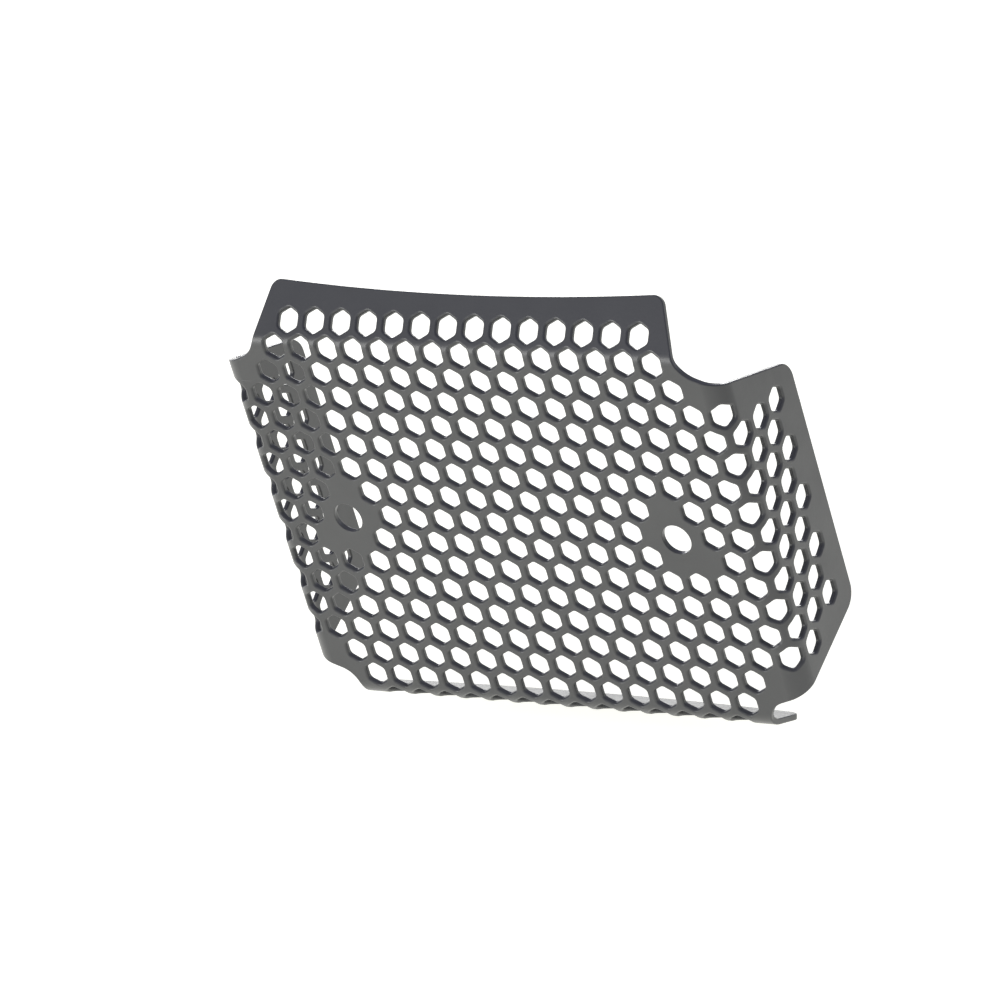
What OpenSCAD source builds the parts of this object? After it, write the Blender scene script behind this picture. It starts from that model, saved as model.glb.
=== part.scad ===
// Guard for a motorcycle rectifier: one perforated sheet, folded back on all four sides.
// The face panel lies in the XZ plane with its back on y = 0. +X is right, +Z is up and
// the folds go back along +Y. The origin is midway between the two bolt holes.

/* [Sheet] */
// Thickness of the coated sheet
sheet_t = 1.3; // [1:0.1:2]
// Inside radius of every fold
fold_r = 3.2; // [2.4:0.1:4]

/* [Mounting bolts] */
// Distance between the two bolt holes
bolt_span = 80; // [76:0.5:84]
// Diameter of a bolt hole
bolt_d = 6.8; // [5.5:0.1:8.5]
// Radius round a bolt that no hexagon's centre comes into
bolt_seat_r = 8; // [7.8:0.1:8.4]

/* [Perforation] */
// Distance between the centres of neighbouring hexagons
hex_pitch = 6.5; // [6.3:0.1:6.8]
// Width of a hexagon across its flats
hex_w = 5.25; // [4.4:0.05:5.4]
// Height of the first row of hexagons, on the flat sheet
first_row_z = 45.8; // [45.4:0.1:46]
// Number of rows
hex_rows = 17; // [15:1:17]
// Least distance from a hexagon's centre to the edge of the sheet
hex_edge = 4.75; // [4.6:0.05:5.4]

/* [Side wings] */
// Distance from the middle to a side fold, on the flat sheet
wing_fold_x = 58.8; // [57:0.2:62]
// Distance from the middle to the free edge of a wing, on the flat sheet
wing_edge_x = 82.3; // [80:0.5:90]
// Half the height of a wing at its fold
wing_root_h = 36; // [34:0.5:37]
// Half the height of a wing at its free edge
wing_tip_h = 27.5; // [22:0.5:30]
// Fold angle of a wing
wing_angle = 90; // [80:1:95]
// Radius of a wing's corners
wing_corner_r = 4.6; // [2:0.1:8]

/* [Top flange] */
// Height of the top fold, on the flat sheet
top_fold_z = 41.3; // [41:0.1:42]
// Height of the top edge at its ends, on the flat sheet
top_edge_z = 54.3; // [53:0.1:58]
// How far the top edge dips in the middle
top_dip = 1.8; // [0:0.1:2.2]
// Half the width of the top flange at its fold
top_root_w = 50.7; // [49.6:0.1:52]
// Half the width of the top flange at its edge
top_tip_w = 46.8; // [46.4:0.1:49]
// Fold angle of the top flange
top_angle = 39; // [30:1:50]
// Radius of the notch between the top flange and a wing
top_notch_r = 7; // [3:0.1:9]

/* [Bottom flange] */
// Height of the bottom fold, on the flat sheet
bottom_fold_z = -42.8; // [-44:0.1:-42.4]
// Height of the bottom edge at its ends, on the flat sheet
bottom_edge_z = -53; // [-57:0.1:-52.6]
// How far the bottom edge bulges in the middle
bottom_bulge = 3.8; // [0:0.1:5]
// Half the width of the bottom flange
bottom_w = 50.3; // [49.6:0.1:52]
// Fold angle of the bottom flange
bottom_angle = 65; // [50:1:80]
// Radius of the notch between the bottom flange and a wing
bottom_notch_r = 5.5; // [3:0.1:7]
// Radius of the corners of both flanges
flange_corner_r = 2.6; // [1:0.1:4]

/* [Hidden] */
sheet_colour = [0.30, 0.31, 0.31];

// Length of sheet that a fold takes up, measured on the middle of the sheet
mid_r = fold_r + sheet_t / 2;
function fold_length(angle) = mid_r * angle * PI / 180;

// Where each fold begins and ends on the flat sheet
wing_start = wing_fold_x - fold_length(wing_angle) / 2;
wing_end = wing_fold_x + fold_length(wing_angle) / 2;
top_start = top_fold_z - fold_length(top_angle) / 2;
top_end = top_fold_z + fold_length(top_angle) / 2;
bottom_start = bottom_fold_z + fold_length(bottom_angle) / 2;
bottom_end = bottom_fold_z - fold_length(bottom_angle) / 2;

// Half sizes of a hexagon, which stands on a corner
half_w = hex_w / 2;
half_h = hex_w / sqrt(3);

// Steps in a rounded corner, in half of a curved edge and in a fold
corner_steps = 8;
edge_steps = 10;
fold_steps = 8;

// A flat part reaches a little way into its fold, and stands proud of it by less than the
// coating hides. The fold's own ends lie in from the edge of the sheet by as little.
lap = 0.05;
proud = 0.002;
inset = 0.02;

// How far a cutting tool reaches past each face of the sheet
reach = 0.9;
// Farther than any part of the sheet
far = 200;

function unit(v) = v / norm(v);
function mirrored(path) = [for (i = [len(path) - 1:-1:0]) [-path[i].x, path[i].y]];

// Point where the line from p along d meets the line from q along e
function meeting(p, d, q, e) = p + d * cross(q - p, e) / cross(d, e);

// Arc of radius r that rounds corner b between its neighbours a and c
function rounded(a, b, c, r) =
    let (to_a = unit(a - b),
         to_c = unit(c - b),
         half = acos(to_a * to_c) / 2,
         centre = b + unit(to_a + to_c) * r / sin(half),
         first = b + to_a * r / tan(half) - centre,
         last = b + to_c * r / tan(half) - centre,
         turn = sign(cross(first, last)) * (180 - 2 * half),
         begin = atan2(first.y, first.x))
    [for (i = [0:corner_steps])
        let (angle = begin + turn * i / corner_steps)
        centre + r * [cos(angle), sin(angle)]];

// Flat sheet, right half, from the middle of the bottom edge round to the middle of the top.
// Both flange edges are shallow curves.
function bottom_curve(x) = bottom_edge_z - bottom_bulge * (1 - pow(x / bottom_w, 2));
function top_curve(x) = top_edge_z - top_dip * (1 - pow(x / top_tip_w, 2));

wing_slope = [wing_edge_x - wing_fold_x, wing_tip_h - wing_root_h];
top_side = [top_tip_w - top_root_w, top_edge_z - top_fold_z];
bottom_corner = [bottom_w, bottom_edge_z];
top_corner = [top_tip_w, top_edge_z];
wing_low = [wing_edge_x, -wing_tip_h];
wing_high = [wing_edge_x, wing_tip_h];
bottom_notch = meeting([wing_fold_x, -wing_root_h], [wing_slope.x, -wing_slope.y], bottom_corner, [0, 1]);
top_notch = meeting([wing_fold_x, wing_root_h], wing_slope, top_corner, top_side);

curve_part = 0.9;
bottom_last = [bottom_w * curve_part, bottom_curve(bottom_w * curve_part)];
top_last = [top_tip_w * curve_part, top_curve(top_tip_w * curve_part)];

right_half = concat(
    [for (i = [0:edge_steps])
        let (x = bottom_last.x * i / edge_steps) [x, bottom_curve(x)]],
    rounded(bottom_last, bottom_corner, bottom_notch, flange_corner_r),
    rounded(bottom_corner, bottom_notch, wing_low, bottom_notch_r),
    rounded(bottom_notch, wing_low, wing_high, wing_corner_r),
    rounded(wing_low, wing_high, top_notch, wing_corner_r),
    rounded(wing_high, top_notch, top_corner, top_notch_r),
    rounded(top_notch, top_corner, top_last, flange_corner_r),
    [for (i = [edge_steps:-1:1])
        let (x = top_last.x * i / edge_steps) [x, top_curve(x)]]);
blank = concat(right_half, [[0, top_curve(0)]],
    [for (p = mirrored(right_half)) if (p.x < 0) p]);
blank_size = len(blank);

function next_point(i) = blank[(i + 1) % blank_size];

// Distance from p to the line between a and b
function line_distance(p, a, b) =
    let (along = (p - a) * (b - a) / ((b - a) * (b - a)))
    norm(p - a - (b - a) * min(max(along, 0), 1));
function edge_distance(p) =
    min([for (i = [0:blank_size - 1]) line_distance(p, blank[i], next_point(i))]);

// Whether p lies inside the blank
function inside(p) =
    len([for (i = [0:blank_size - 1])
        let (a = blank[i], b = next_point(i))
        if ((a.y > p.y) != (b.y > p.y)
            && p.x < a.x + (b.x - a.x) * (p.y - a.y) / (b.y - a.y)) 1]) % 2 == 1;

// Heights at which the blank's edge crosses the upright at x, and places where it crosses height z
function heights_at(x) =
    [for (i = [0:blank_size - 1])
        let (a = blank[i], b = next_point(i))
        if ((a.x > x) != (b.x > x)) a.y + (b.y - a.y) * (x - a.x) / (b.x - a.x)];
function places_at(z) =
    [for (i = [0:blank_size - 1])
        let (a = blank[i], b = next_point(i))
        if ((a.y > z) != (b.y > z)) a.x + (b.x - a.x) * (z - a.y) / (b.y - a.y)];

// Centres of the hexagons that keep their distance from the edges and from the bolts
bolt_centres = [[-bolt_span / 2, 0], [bolt_span / 2, 0]];
half_columns = ceil(wing_edge_x / hex_pitch);
centres = [for (row = [0:hex_rows - 1], column = [-half_columns:half_columns])
    let (p = [(column + (row % 2 == 0 ? 0.5 : 0)) * hex_pitch,
              first_row_z - row * hex_pitch * sqrt(3) / 2])
    if (inside(p) && edge_distance(p) >= hex_edge
        && min([for (b = bolt_centres) norm(p - b)]) >= bolt_seat_r) p];

function on_panel(p) = abs(p.x) + half_w <= wing_start
    && p.y + half_h <= top_start && p.y - half_h >= bottom_start;
function on_wing(p) = abs(p.x) - half_w >= wing_end;
function on_top(p) = p.y - half_h >= top_end;
function on_bottom(p) = p.y + half_h <= bottom_end;
function on_fold(p) = !(on_panel(p) || on_wing(p) || on_top(p) || on_bottom(p));

function hexagon(p) = [for (i = [0:5]) p + half_h * [cos(30 + 60 * i), sin(30 + 60 * i)]];

// Bend of the sheet: a point at distance s past the start of a fold and at height out from
// the inner face goes to [along, back]
function bent(s, angle, out) =
    let (turn = min(max(s / mid_r * 180 / PI, 0), angle),
         past = max(s - fold_length(angle), 0))
    [min(s, 0) + (fold_r + out) * sin(turn) + past * cos(turn),
     fold_r - (fold_r + out) * cos(turn) + past * sin(turn)];

// Place of a flat sheet's point p on the folded guard, at height out from the inner face
function folded(p, out) =
    abs(p.x) > wing_start
    ? let (q = bent(abs(p.x) - wing_start, wing_angle, out))
        [sign(p.x) * (wing_start + q.x), q.y, p.y]
    : p.y > top_start
    ? let (q = bent(p.y - top_start, top_angle, out)) [p.x, q.y, top_start + q.x]
    : p.y < bottom_start
    ? let (q = bent(bottom_start - p.y, bottom_angle, out)) [p.x, q.y, bottom_start - q.x]
    : [p.x, -out, p.y];

// Lines across a fold, in the middle of its steps, at which an edge is given a point. Where
// more is above 0, as many lines are added before and after the fold.
function lines_across(first, last, more = 0) =
    [for (i = [-more:fold_steps - 1 + more]) first + (last - first) * (i + 0.5) / fold_steps];
wing_lines = lines_across(wing_start, wing_end);
flange_lines = concat(lines_across(top_start, top_end), lines_across(bottom_start, bottom_end));

// Points of the edge from a to b, with one more wherever it crosses a line of its fold
function split_edge(a, b) =
    let (side = abs(a.x + b.x) / 2 > wing_start - hex_pitch,
         lines = side ? concat(wing_lines, -wing_lines) : flange_lines,
         from = side ? a.x : a.y,
         to = side ? b.x : b.y,
         count = len(lines),
         cuts = abs(to - from) < 0.01 ? [] :
             [for (i = [0:count - 1])
                 let (t = (lines[i] - from) / (to - from)) if (t > 0.01 && t < 0.99) t],
         steps = sorted(cuts))
    concat([a], [for (t = steps) a + (b - a) * t]);
function sorted(list) = len(list) < 2 ? list :
    let (pivot = list[0], rest = [for (i = [1:len(list) - 1]) list[i]])
    concat(sorted([for (v = rest) if (v < pivot) v]), [pivot],
           sorted([for (v = rest) if (v >= pivot) v]));

// Cutter for a hexagon that lies across a fold: its walls stand square to the bent sheet
module folded_hole(p) {
    corners = hexagon(p);
    edge = [for (i = [0:5], q = split_edge(corners[i], corners[(i + 1) % 6])) q];
    n = len(edge);
    polyhedron(
        points = concat([for (q = edge) folded(q, -reach)],
                        [for (q = edge) folded(q, sheet_t + reach)],
                        [folded(p, -reach), folded(p, sheet_t + reach)]),
        faces = [for (i = [0:n - 1])
            let (j = (i + 1) % n)
            each [[2 * n, i, j], [2 * n + 1, n + j, n + i], [i, n + i, n + j], [i, n + j, j]]]);
}

// Solid that holds a fold's strip between two edges of the blank. Each ring has two
// points of the flat sheet, one on each edge.
module strip_bounds(rings) {
    n = len(rings);
    points = [for (r = rings)
        each [folded(r[0], -reach), folded(r[1], -reach),
              folded(r[1], sheet_t + reach), folded(r[0], sheet_t + reach)]];
    sides = [for (i = [0:n - 2], k = [0:3])
        let (a = 4 * i + k, b = 4 * i + (k + 1) % 4)
        each [[a, b, b + 4], [a, b + 4, a + 4]]];
    last = 4 * (n - 1);
    polyhedron(
        points = points,
        faces = concat(sides, [[0, 3, 2], [0, 2, 1],
            [last, last + 1, last + 2], [last, last + 2, last + 3]]));
}

// Part of the blank inside a window, with the hexagons that lie on it cut out. Its back is
// on y = 0.
module flat_piece(low, high, holes, thickness = sheet_t) {
    rotate([90, 0, 0])
        linear_extrude(thickness)
            difference() {
                intersection() {
                    polygon(blank);
                    polygon([low, [high.x, low.y], high, [low.x, high.y]]);
                }
                for (p = holes) polygon(hexagon(p));
            }
}

// Flat part of a wing or flange, which stands proud of its fold on both faces
module flat_part(low, high, holes) {
    translate([0, proud, 0]) flat_piece(low, high, holes, sheet_t + 2 * proud);
}

// Sector of a folded sheet about the upright axis, from the -Y side round towards +X
module fold_sector(angle) {
    rotate([0, 0, -90])
        rotate_extrude(angle = angle, $fn = 96)
            translate([fold_r, -far]) square([sheet_t, 2 * far]);
}

module face_panel() {
    difference() {
        flat_piece([-wing_start, bottom_start], [wing_start, top_start],
            [for (p = centres) if (on_panel(p)) p]);
        for (b = bolt_centres)
            translate([b.x, reach, b.y])
                rotate([90, 0, 0]) cylinder(h = sheet_t + 2 * reach, d = bolt_d, $fn = 48);
    }
}

// A wing and its fold
module side_wing() {
    rings = [for (x = lines_across(wing_start, wing_end, 1))
        let (z = heights_at(x)) [[x, max(z) - inset], [x, min(z) + inset]]];
    intersection() {
        translate([wing_start, fold_r, 0]) fold_sector(wing_angle);
        strip_bounds(rings);
    }
    translate([wing_start, fold_r, 0])
        rotate([0, 0, wing_angle])
            translate([-wing_end, -fold_r, 0])
                flat_part([wing_end - lap, -far], [far, far],
                    [for (p = centres) if (on_wing(p) && p.x > 0) p]);
}

// Fold of a flange, from its start to its end on the flat sheet
module flange_fold(start, end, angle) {
    way = sign(end - start);
    rings = [for (z = lines_across(start, end, 1))
        let (x = way * (max(places_at(z)) - inset)) [[-x, z], [x, z]]];
    intersection() {
        translate([0, fold_r, start])
            scale([1, 1, way]) rotate([0, -90, 0]) fold_sector(angle);
        strip_bounds(rings);
    }
}

module top_flange() {
    flange_fold(top_start, top_end, top_angle);
    translate([0, fold_r, top_start])
        rotate([-top_angle, 0, 0])
            translate([0, -fold_r, -top_end])
                flat_part([-far, top_end - lap], [far, far], [for (p = centres) if (on_top(p)) p]);
}

module bottom_flange() {
    flange_fold(bottom_start, bottom_end, bottom_angle);
    translate([0, fold_r, bottom_start])
        rotate([bottom_angle, 0, 0])
            translate([0, -fold_r, -bottom_end])
                flat_part([-far, -far], [far, bottom_end + lap],
                    [for (p = centres) if (on_bottom(p)) p]);
}

module guard_plate() {
    color(sheet_colour)
        difference() {
            union() {
                face_panel();
                side_wing();
                mirror([1, 0, 0]) side_wing();
                top_flange();
                bottom_flange();
            }
            for (p = centres)
                if (on_fold(p)) folded_hole(p);
        }
}

guard_plate();
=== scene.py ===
"""Looks of a perforated rectifier guard: one sheet, punched, folded and powder-coated."""

import bmesh
import bpy
import numpy as np
from mathutils import Matrix, Vector
from mathutils.geometry import tessellate_polygon


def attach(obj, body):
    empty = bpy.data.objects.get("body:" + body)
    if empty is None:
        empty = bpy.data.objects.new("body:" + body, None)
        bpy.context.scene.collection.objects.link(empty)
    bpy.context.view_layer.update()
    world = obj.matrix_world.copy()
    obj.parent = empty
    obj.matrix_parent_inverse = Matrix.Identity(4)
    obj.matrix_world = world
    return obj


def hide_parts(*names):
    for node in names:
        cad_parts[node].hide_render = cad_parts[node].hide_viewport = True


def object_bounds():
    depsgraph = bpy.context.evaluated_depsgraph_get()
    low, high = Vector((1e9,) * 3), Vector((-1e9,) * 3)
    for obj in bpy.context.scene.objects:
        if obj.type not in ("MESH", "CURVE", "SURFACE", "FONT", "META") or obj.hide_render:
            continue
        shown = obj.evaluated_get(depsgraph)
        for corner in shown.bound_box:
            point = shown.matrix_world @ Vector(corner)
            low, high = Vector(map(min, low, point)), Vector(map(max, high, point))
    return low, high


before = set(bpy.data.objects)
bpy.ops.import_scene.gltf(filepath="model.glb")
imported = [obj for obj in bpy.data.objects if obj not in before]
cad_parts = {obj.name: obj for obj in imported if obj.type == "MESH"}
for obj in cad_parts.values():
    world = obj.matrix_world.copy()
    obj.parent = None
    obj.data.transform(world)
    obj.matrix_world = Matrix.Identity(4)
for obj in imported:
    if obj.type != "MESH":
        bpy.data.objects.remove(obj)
cad_box = [list(corner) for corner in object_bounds()]

# Sizes of the guard in millimetres, as in the part's source
SHEET = 1.3
FOLD_R = 3.2
MID_R = FOLD_R + SHEET / 2
BOLTS = np.array([[-40.0, 0.0], [40.0, 0.0]])
BOLT_D, BOLT_SEAT = 6.8, 8.0
PITCH, HEX_W, HEX_EDGE = 6.5, 5.25, 4.75
FIRST_ROW, ROWS, COLUMNS_ASIDE = 45.8, 17, 13
WING_FOLD, WING_EDGE, WING_ANGLE = 58.8, 82.3, 90.0
WING_ROOT, WING_TIP, WING_CORNER = 36.0, 27.5, 4.6
TOP_FOLD, TOP_EDGE, TOP_ANGLE, TOP_DIP = 41.3, 54.3, 39.0, 1.8
TOP_ROOT, TOP_TIP, TOP_NOTCH = 50.7, 46.8, 7.0
LOW_FOLD, LOW_EDGE, LOW_ANGLE, LOW_BULGE = -42.8, -53.0, 65.0, 3.8
LOW_W, LOW_NOTCH = 50.3, 5.5
FLANGE_CORNER = 2.6

# How the punch and the coating soften the sheet. A hole's front edge is rolled in, so its
# throat is narrower than the straight hole of the source, and both look equally wide. The
# burr is the smaller round of a hexagon's back edge
HEX_ROLL, HEX_BURR, HEX_CORNER = 0.55, 0.3, 1.0
BOLT_ROLL, SOFT_EDGE = 0.2, 0.3
HEX_THROAT, BOLT_THROAT = HEX_W - HEX_ROLL, BOLT_D - BOLT_ROLL

# Camera: the place that the photograph was taken from, and the picture's right and down
LENS, SENSOR = 243.18, 36
CAMERA_SPOT = (0.76029008, -0.93905815, 0.63280296)
PICTURE_RIGHT = np.array([0.82731837, 0.49984901, -0.2563109])
PICTURE_DOWN = np.array([0.05333341, -0.52412022, -0.84997267])

# Table, in metres: how far it reaches, how far it lies below the guard, how strongly it glows,
# and which way, from where to where and down to what the glow fades
TABLE_REACH, TABLE_GAP = 12.0, 0.0002
GLOW, FADED_GLOW = 0.85, 0.35
FADE_WAY, FADE_FROM, FADE_TO = (0.97, 0.24, 0), 0.10, 0.30


def fold_span(middle, angle, way):
    """Where a fold begins and ends on the flat sheet: half its length each side of its middle."""
    half = MID_R * np.radians(angle) / 2 * way
    return middle - half, middle + half


WING_FROM, WING_TO = fold_span(WING_FOLD, WING_ANGLE, 1)
TOP_FROM, TOP_TO = fold_span(TOP_FOLD, TOP_ANGLE, 1)
LOW_FROM, LOW_TO = fold_span(LOW_FOLD, LOW_ANGLE, -1)


def unit(v):
    """v divided by its length, for one vector or an array of them."""
    return v / np.linalg.norm(v, axis=-1, keepdims=True)


def meeting(p, d, q, e):
    """Point where the line from p along d meets the line from q along e."""
    cross = lambda a, b: a[0] * b[1] - a[1] * b[0]
    return p + d * cross(q - p, e) / cross(d, e)


def rounded(a, b, c, radius, steps=14):
    """Arc that rounds corner b between a and c: centre on the bisector, radius over the sine of
    half the angle away, swept evenly between the two points of touch."""
    to_a, to_c = unit(a - b), unit(c - b)
    half = np.arccos(to_a @ to_c) / 2
    centre = b + unit(to_a + to_c) * radius / np.sin(half)
    first = b + to_a * radius / np.tan(half) - centre
    last = b + to_c * radius / np.tan(half) - centre
    turn = np.sign(first[0] * last[1] - first[1] * last[0]) * (np.pi - 2 * half)
    angle = np.arctan2(first[1], first[0]) + turn * np.linspace(0, 1, steps + 1)
    return centre + radius * np.stack([np.cos(angle), np.sin(angle)], 1)


def outline(curved=0.9, steps=25):
    """Edge of the flat sheet, anticlockwise: both flange edges are parabolas over the curved
    share of their width, the wings taper in straight lines, and every corner and notch is an
    arc. The left half mirrors the right one."""
    v = lambda x, z: np.array([x, z], float)
    low_z = lambda x: LOW_EDGE - LOW_BULGE * (1 - (x / LOW_W) ** 2)
    top_z = lambda x: TOP_EDGE - TOP_DIP * (1 - (x / TOP_TIP) ** 2)
    slope = v(WING_EDGE - WING_FOLD, WING_TIP - WING_ROOT)
    low_corner, top_corner = v(LOW_W, LOW_EDGE), v(TOP_TIP, TOP_EDGE)
    wing_low, wing_high = v(WING_EDGE, -WING_TIP), v(WING_EDGE, WING_TIP)
    low_notch = meeting(v(WING_FOLD, -WING_ROOT), v(slope[0], -slope[1]), low_corner, v(0, 1))
    top_side = v(TOP_TIP - TOP_ROOT, TOP_EDGE - TOP_FOLD)
    top_notch = meeting(v(WING_FOLD, WING_ROOT), slope, top_corner, top_side)
    x_low = np.linspace(0, curved * LOW_W, steps)
    x_top = np.linspace(curved * TOP_TIP, 0, steps)
    right = np.concatenate([
        np.stack([x_low, low_z(x_low)], 1)[:-1],
        rounded(v(x_low[-1], low_z(x_low[-1])), low_corner, low_notch, FLANGE_CORNER),
        rounded(low_corner, low_notch, wing_low, LOW_NOTCH),
        rounded(low_notch, wing_low, wing_high, WING_CORNER),
        rounded(wing_low, wing_high, top_notch, WING_CORNER),
        rounded(wing_high, top_notch, top_corner, TOP_NOTCH),
        rounded(top_notch, top_corner, v(x_top[0], top_z(x_top[0])), FLANGE_CORNER),
        np.stack([x_top, top_z(x_top)], 1)[1:]])
    return np.concatenate([right, right[-2:0:-1] * [-1, 1]])


def edge_distance(points, edge):
    """Distance from each point to the closed line edge: to the nearest point of each segment."""
    a, b = edge, np.roll(edge, -1, 0)
    along = ((points[:, None] - a) * (b - a)).sum(2) / ((b - a) ** 2).sum(1)
    near = a + (b - a) * np.clip(along, 0, 1)[..., None]
    return np.linalg.norm(points[:, None] - near, axis=2).min(1)


def inside(points, edge):
    """Whether each point lies inside the closed line: an odd number of crossings to its right."""
    a, b = edge, np.roll(edge, -1, 0)
    spans = (a[:, 1] > points[:, 1:]) != (b[:, 1] > points[:, 1:])
    rise = np.where(a[:, 1] == b[:, 1], 1, b[:, 1] - a[:, 1])
    cross = a[:, 0] + (b[:, 0] - a[:, 0]) * (points[:, 1:] - a[:, 1]) / rise
    return (spans & (points[:, :1] < cross)).sum(1) % 2 == 1


def hexagon_centres(edge):
    """Staggered rows of centres that keep clear of the sheet's edge and of the bolt seats."""
    columns = np.arange(-COLUMNS_ASIDE, COLUMNS_ASIDE + 1)
    row, column = np.meshgrid(np.arange(ROWS), columns, indexing="ij")
    x = (column + np.where(row % 2 == 0, 0.5, 0)) * PITCH
    z = FIRST_ROW - row * PITCH * np.sqrt(3) / 2
    p = np.stack([x.ravel(), z.ravel()], 1)
    seat = np.linalg.norm(p[:, None] - BOLTS, axis=2).min(1)
    return p[inside(p, edge) & (edge_distance(p, edge) >= HEX_EDGE) & (seat >= BOLT_SEAT)]


def hexagon_rims(centres, steps=3):
    """Rim of every hexagon, clockwise, as points and directions into the metal. Each corner is
    an arc of sixty degrees whose centre lies in from the corner by its radius over cos 30."""
    corner = np.radians(30 + 60 * np.arange(6))[::-1, None]
    angle = (corner + np.radians(np.linspace(30, -30, steps + 1))).ravel()
    corner = np.repeat(corner.ravel(), steps + 1)
    point = lambda a: np.stack([np.cos(a), np.sin(a)], 1)
    arm = HEX_THROAT / np.sqrt(3) - HEX_CORNER / np.cos(np.radians(30))
    rim = point(corner) * arm + point(angle) * HEX_CORNER
    return centres[:, None] + rim, np.broadcast_to(point(angle), (len(centres), len(angle), 2))


def bolt_rims(steps=48):
    """Rims of the two round holes, clockwise, with directions into the metal."""
    angle = -2 * np.pi * np.arange(steps) / steps
    way = np.stack([np.cos(angle), np.sin(angle)], 1)
    return BOLTS[:, None] + way * BOLT_THROAT / 2, np.broadcast_to(way, (2, steps, 2))


def edge_rim(edge):
    """The outline with directions into the metal: left of the line, square to the mean of the
    two segments that meet at each point."""
    ahead, behind = unit(np.roll(edge, -1, 0) - edge), unit(edge - np.roll(edge, 1, 0))
    along = unit(ahead + behind)
    return edge[None], np.stack([-along[:, 1], along[:, 0]], 1)[None]


def punched_wall(rims, ways, base, front, back):
    """Wall of the sheet round closed rims: a profile carried along each rim. The profile turns
    a quarter circle in from each face, of radius front or back, and runs straight between them.
    Returns points (x, height out from the inner face, z), their normals and the quads, numbered
    from base."""
    turn = np.radians([90, 67, 45, 22, 0, 0, -45, -90])
    radius = np.repeat([front, back], [5, 3])
    lift = np.repeat([SHEET - front, back], [5, 3])
    into = radius * (1 - np.cos(turn))
    out = lift + radius * np.sin(turn)
    flat = rims[:, :, None] + ways[:, :, None] * into[:, None]
    points = np.stack([flat[..., 0], np.broadcast_to(out, flat.shape[:3]), flat[..., 1]], -1)
    face = ways[:, :, None] * -np.cos(turn)[:, None]
    lean = np.broadcast_to(np.sin(turn), face.shape[:3])
    normals = np.stack([face[..., 0], lean, face[..., 1]], -1)
    loops, count, rows = points.shape[:3]
    index = base + np.arange(loops * count * rows).reshape(loops, count, rows)
    ahead = np.roll(index, -1, 1)
    quads = np.stack([index[..., :-1], index[..., 1:], ahead[..., 1:], ahead[..., :-1]], -1)
    return points.reshape(-1, 3), normals.reshape(-1, 3), quads.reshape(-1, 4), index


def flat_sheet():
    """The punched sheet before it is folded: walls round the outline and every hole, and both
    faces filled between them."""
    edge = outline()
    rims = [(*edge_rim(edge), SOFT_EDGE, SOFT_EDGE),
            (*hexagon_rims(hexagon_centres(edge)), HEX_ROLL, HEX_BURR),
            (*bolt_rims(), BOLT_ROLL, BOLT_ROLL)]
    points, normals, quads, loops, base = [], [], [], [], 0
    for rim, ways, front, back in rims:
        p, n, q, index = punched_wall(rim, ways, base, front, back)
        points.append(p); normals.append(n); quads.append(q); loops.extend(index)
        base += len(p)
    points, normals = np.concatenate(points), np.concatenate(normals)
    front = np.concatenate([loop[:, 0] for loop in loops])
    back = np.concatenate([loop[:, -1] for loop in loops])
    level = points[:, [0, 2, 1]] * [1, 1, 0]
    fill = np.array(tessellate_polygon([list(map(Vector, level[loop[:, 0]])) for loop in loops]))
    a, b, c = (points[front[fill[:, k]]][:, [0, 2]] for k in range(3))
    area = (b - a)[:, 0] * (c - a)[:, 1] - (b - a)[:, 1] * (c - a)[:, 0]
    fill[area < 0] = fill[area < 0][:, ::-1]
    faces = np.concatenate(quads).tolist() + front[fill].tolist() + back[fill[:, ::-1]].tolist()
    return points, normals, faces


def bend(s, angle, out):
    """A point at distance s past the start of a fold and at height out: it turns by s over the
    middle radius, up to the fold's angle, and goes on straight past it. Returns how far along
    and how far back it comes, and the angle it has turned by."""
    turn = np.clip(s / MID_R, 0, np.radians(angle))
    past = np.maximum(s - MID_R * np.radians(angle), 0)
    along = np.minimum(s, 0) + (FOLD_R + out) * np.sin(turn) + past * np.cos(turn)
    return along, FOLD_R - (FOLD_R + out) * np.cos(turn) + past * np.sin(turn), turn


def fold(points, normals):
    """Folds the flat sheet: wings about upright lines, flanges about level ones."""
    x, out, z = points.T
    place, face = np.stack([x, -out, z], 1), normals * [1, -1, 1]
    wing = np.abs(x) > WING_FROM
    side = np.sign(x[wing])
    along, back, turn = bend(np.abs(x[wing]) - WING_FROM, WING_ANGLE, out[wing])
    place[wing] = np.stack([side * (WING_FROM + along), back, z[wing]], 1)
    a, n = turn, normals[wing]
    side_n, out_n = n[:, 0] * side, n[:, 1]
    face[wing] = np.stack([side * (side_n * np.cos(a) + out_n * np.sin(a)),
                           side_n * np.sin(a) - out_n * np.cos(a), n[:, 2]], 1)
    for chosen, start, angle, way in ((~wing & (z > TOP_FROM), TOP_FROM, TOP_ANGLE, 1),
                                      (~wing & (z < LOW_FROM), LOW_FROM, LOW_ANGLE, -1)):
        along, back, a = bend(way * (z[chosen] - start), angle, out[chosen])
        place[chosen] = np.stack([x[chosen], back, start + way * along], 1)
        n = normals[chosen]
        up_n, out_n = n[:, 2] * way, n[:, 1]
        face[chosen] = np.stack([n[:, 0], up_n * np.sin(a) - out_n * np.cos(a),
                                 way * (up_n * np.cos(a) + out_n * np.sin(a))], 1)
    return place, unit(face)


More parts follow.
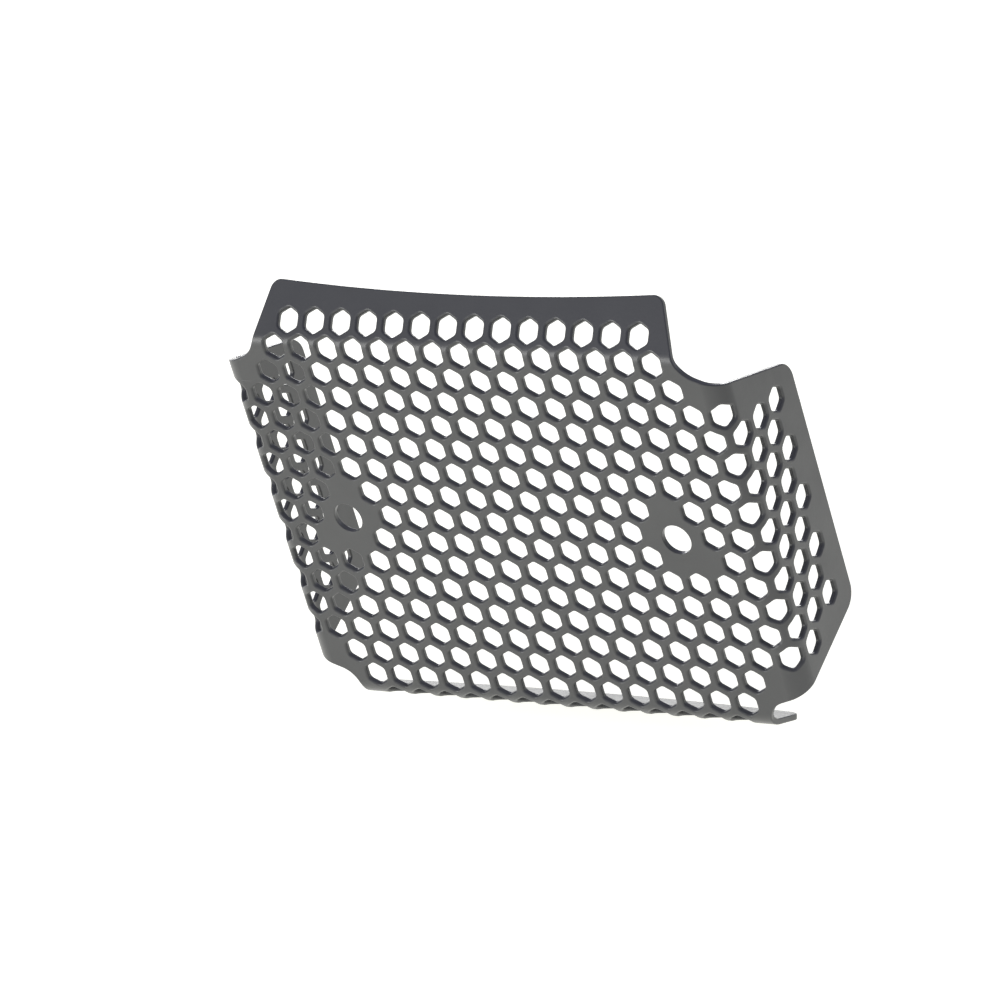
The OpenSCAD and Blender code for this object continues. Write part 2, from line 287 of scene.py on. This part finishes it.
def guard_sheet():
    """The folded guard as one closed mesh. The flat sheet is cut along lines across each fold,
    so that it bends in steps of four to eight degrees, and its normals turn with it. Its
    millimetres become metres last."""
    points, normals, faces = flat_sheet()
    mesh = bpy.data.meshes.new("guard_sheet")
    mesh.from_pydata(points, [], faces)
    kept = mesh.attributes.new("flat_normal", "FLOAT_VECTOR", "POINT")
    kept.data.foreach_set("vector", normals.ravel())
    work = bmesh.new()
    work.from_mesh(mesh)
    folds = ((WING_FROM, WING_TO, 0, 12), (-WING_FROM, -WING_TO, 0, 12),
             (TOP_FROM, TOP_TO, 2, 7), (LOW_FROM, LOW_TO, 2, 10))
    for start, end, axis, steps in folds:
        for place in np.linspace(start, end, steps + 1):
            spot, square = [0, 0, 0], [0, 0, 0]
            spot[axis], square[axis] = place, 1
            bmesh.ops.bisect_plane(work, geom=work.verts[:] + work.edges[:] + work.faces[:],
                                   dist=1e-4, plane_co=spot, plane_no=square)
    work.to_mesh(mesh)
    work.free()
    points, normals = (np.empty(len(mesh.vertices) * 3) for _ in range(2))
    mesh.vertices.foreach_get("co", points)
    mesh.attributes["flat_normal"].data.foreach_get("vector", normals)
    place, face = fold(points.reshape(-1, 3), normals.reshape(-1, 3))
    mesh.vertices.foreach_set("co", (place * 0.001).ravel())
    mesh.attributes.remove(mesh.attributes["flat_normal"])
    mesh.polygons.foreach_set("use_smooth", np.ones(len(mesh.polygons), bool))
    mesh.update()
    mesh.normals_split_custom_set_from_vertices(face.tolist())
    piece = bpy.data.objects.new("guard_sheet", mesh)
    bpy.context.scene.collection.objects.link(piece)
    return piece


def powder_coat():
    """Satin dark grey powder coat: slow variation in shade and gloss, and the fine orange peel
    that the powder leaves as it flows out."""
    material = bpy.data.materials.new("satin_powder_coat")
    material.use_nodes = True
    nodes, links = material.node_tree.nodes, material.node_tree.links
    shader = nodes["Principled BSDF"]
    place = nodes.new("ShaderNodeTexCoord").outputs["Object"]

    def noise(scale, detail, rough=0.5):
        node = nodes.new("ShaderNodeTexNoise")
        node.inputs["Scale"].default_value = scale
        node.inputs["Detail"].default_value = detail
        node.inputs["Roughness"].default_value = rough
        links.new(place, node.inputs["Vector"])
        return node.outputs["Fac"]

    def spread(source, low, high):
        node = nodes.new("ShaderNodeMapRange")
        node.inputs["From Min"].default_value = 0.3
        node.inputs["From Max"].default_value = 0.7
        node.inputs["To Min"].default_value = low
        node.inputs["To Max"].default_value = high
        links.new(source, node.inputs["Value"])
        return node.outputs["Result"]

    shade = nodes.new("ShaderNodeMix")
    shade.data_type = "RGBA"
    shade.inputs["A"].default_value = (0.036, 0.037, 0.0365, 1)
    shade.inputs["B"].default_value = (0.044, 0.045, 0.0445, 1)
    links.new(spread(noise(60, 3), 0, 1), shade.inputs["Factor"])
    links.new(shade.outputs["Result"], shader.inputs["Base Color"])
    links.new(spread(noise(140, 4), 0.40, 0.50), shader.inputs["Roughness"])

    peel = nodes.new("ShaderNodeBump")
    peel.inputs["Strength"].default_value = 0.35
    peel.inputs["Distance"].default_value = 0.00005
    links.new(noise(1500, 3, 0.6), peel.inputs["Height"])
    links.new(peel.outputs["Normal"], shader.inputs["Normal"])
    # The smooth skin of the cured powder, which shines where it is seen at a glancing angle
    shader.inputs["Specular IOR Level"].default_value = 0.55
    shader.inputs["Coat Weight"].default_value = 0.45
    shader.inputs["Coat Roughness"].default_value = 0.22
    return material


def area_light(name, spot, aim, size, power, colour=(1, 1, 1)):
    """Soft square light at spot, turned to face aim."""
    data = bpy.data.lights.new(name, "AREA")
    data.shape = "RECTANGLE"
    data.size, data.size_y = size
    data.energy = power
    data.color = colour
    light = bpy.data.objects.new(name, data)
    light.location = spot
    light.rotation_euler = (Vector(aim) - Vector(spot)).to_track_quat("-Z", "Y").to_euler()
    bpy.context.scene.collection.objects.link(light)
    return light


def pale_floor():
    """Wide plain white table that glows softly, as a light table does, so that the guard throws
    no shadow that shows. Its glow fades out to the right of the picture, which keeps the right
    fold darker than the panel."""
    mesh = bpy.data.meshes.new("floor")
    corner = np.array([[-1, -1], [1, -1], [1, 1], [-1, 1]]) * TABLE_REACH
    low = np.full((4, 1), cad_box[0][2] - TABLE_GAP)
    mesh.from_pydata(np.hstack([corner, low]), [], [(0, 1, 2, 3)])
    floor = bpy.data.objects.new("floor", mesh)
    material = bpy.data.materials.new("white_table")
    material.use_nodes = True
    shader = material.node_tree.nodes["Principled BSDF"]
    shader.inputs["Base Color"].default_value = (0.8, 0.79, 0.64, 1)
    shader.inputs["Roughness"].default_value = 0.9
    shader.inputs["Emission Color"].default_value = (1, 1, 0.96, 1)
    nodes, links = material.node_tree.nodes, material.node_tree.links
    aside = nodes.new("ShaderNodeVectorMath")
    aside.operation = "DOT_PRODUCT"
    aside.inputs[1].default_value = FADE_WAY
    links.new(nodes.new("ShaderNodeTexCoord").outputs["Object"], aside.inputs[0])
    glow = nodes.new("ShaderNodeMapRange")
    glow.interpolation_type = "SMOOTHSTEP"
    glow.inputs["From Min"].default_value = FADE_FROM
    glow.inputs["From Max"].default_value = FADE_TO
    glow.inputs["To Min"].default_value = GLOW
    glow.inputs["To Max"].default_value = FADED_GLOW
    links.new(aside.outputs["Value"], glow.inputs["Value"])
    links.new(glow.outputs["Result"], shader.inputs["Emission Strength"])
    mesh.materials.append(material)
    bpy.context.scene.collection.objects.link(floor)
    return floor


def studio():
    """White table, a dim bluish room, soft boxes high in front, far to the left and behind to
    the right, and a low strip behind that catches the edges seen at a glancing angle."""
    world = bpy.data.worlds.new("studio")
    world.use_nodes = True
    world.node_tree.nodes["Background"].inputs["Color"].default_value = (0.40, 0.41, 0.52, 1)
    world.node_tree.nodes["Background"].inputs["Strength"].default_value = 1.0
    bpy.context.scene.world = world
    bpy.context.scene.view_settings.view_transform = "Standard"
    pale_floor()
    area_light("front_box", (-0.2, -0.9, 0.85), (0, 0, 0), (0.9, 0.9), 1.2, (1, 0.97, 1))
    area_light("left_box", (-1.6, -1.9, 0.5), (0, 0, 0), (1.4, 0.8), 20, (1, 1, 0.96))
    area_light("right_box", (1.1, 1.3, 0.4), (0, 0, 0), (0.8, 0.5), 1, (1, 1, 1))
    area_light("back_strip", (-0.5, 0.75, 0.06), (0, 0, -0.02), (0.5, 0.1), 2, (1, 1, 1))


def camera():
    """Camera fitted to the rows of hexagons in the photograph. Its axes are the picture's
    right, the picture's up and back towards the camera."""
    data = bpy.data.cameras.new("camera")
    data.lens = LENS
    data.sensor_width = SENSOR
    data.clip_start, data.clip_end = 0.01, 100
    view = bpy.data.objects.new("camera", data)
    back = np.cross(PICTURE_RIGHT, -PICTURE_DOWN)
    turn = Matrix(np.stack([PICTURE_RIGHT, -PICTURE_DOWN, back], 1).tolist()).to_4x4()
    view.matrix_world = Matrix.Translation(CAMERA_SPOT) @ turn
    bpy.context.scene.collection.objects.link(view)
    bpy.context.scene.camera = view


coat = powder_coat()
sheet = guard_sheet()
sheet.data.materials.append(coat)
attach(sheet, "root")
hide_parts("guard_plate")
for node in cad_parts.values():
    for slot in node.material_slots:
        slot.material = coat

studio()
camera()
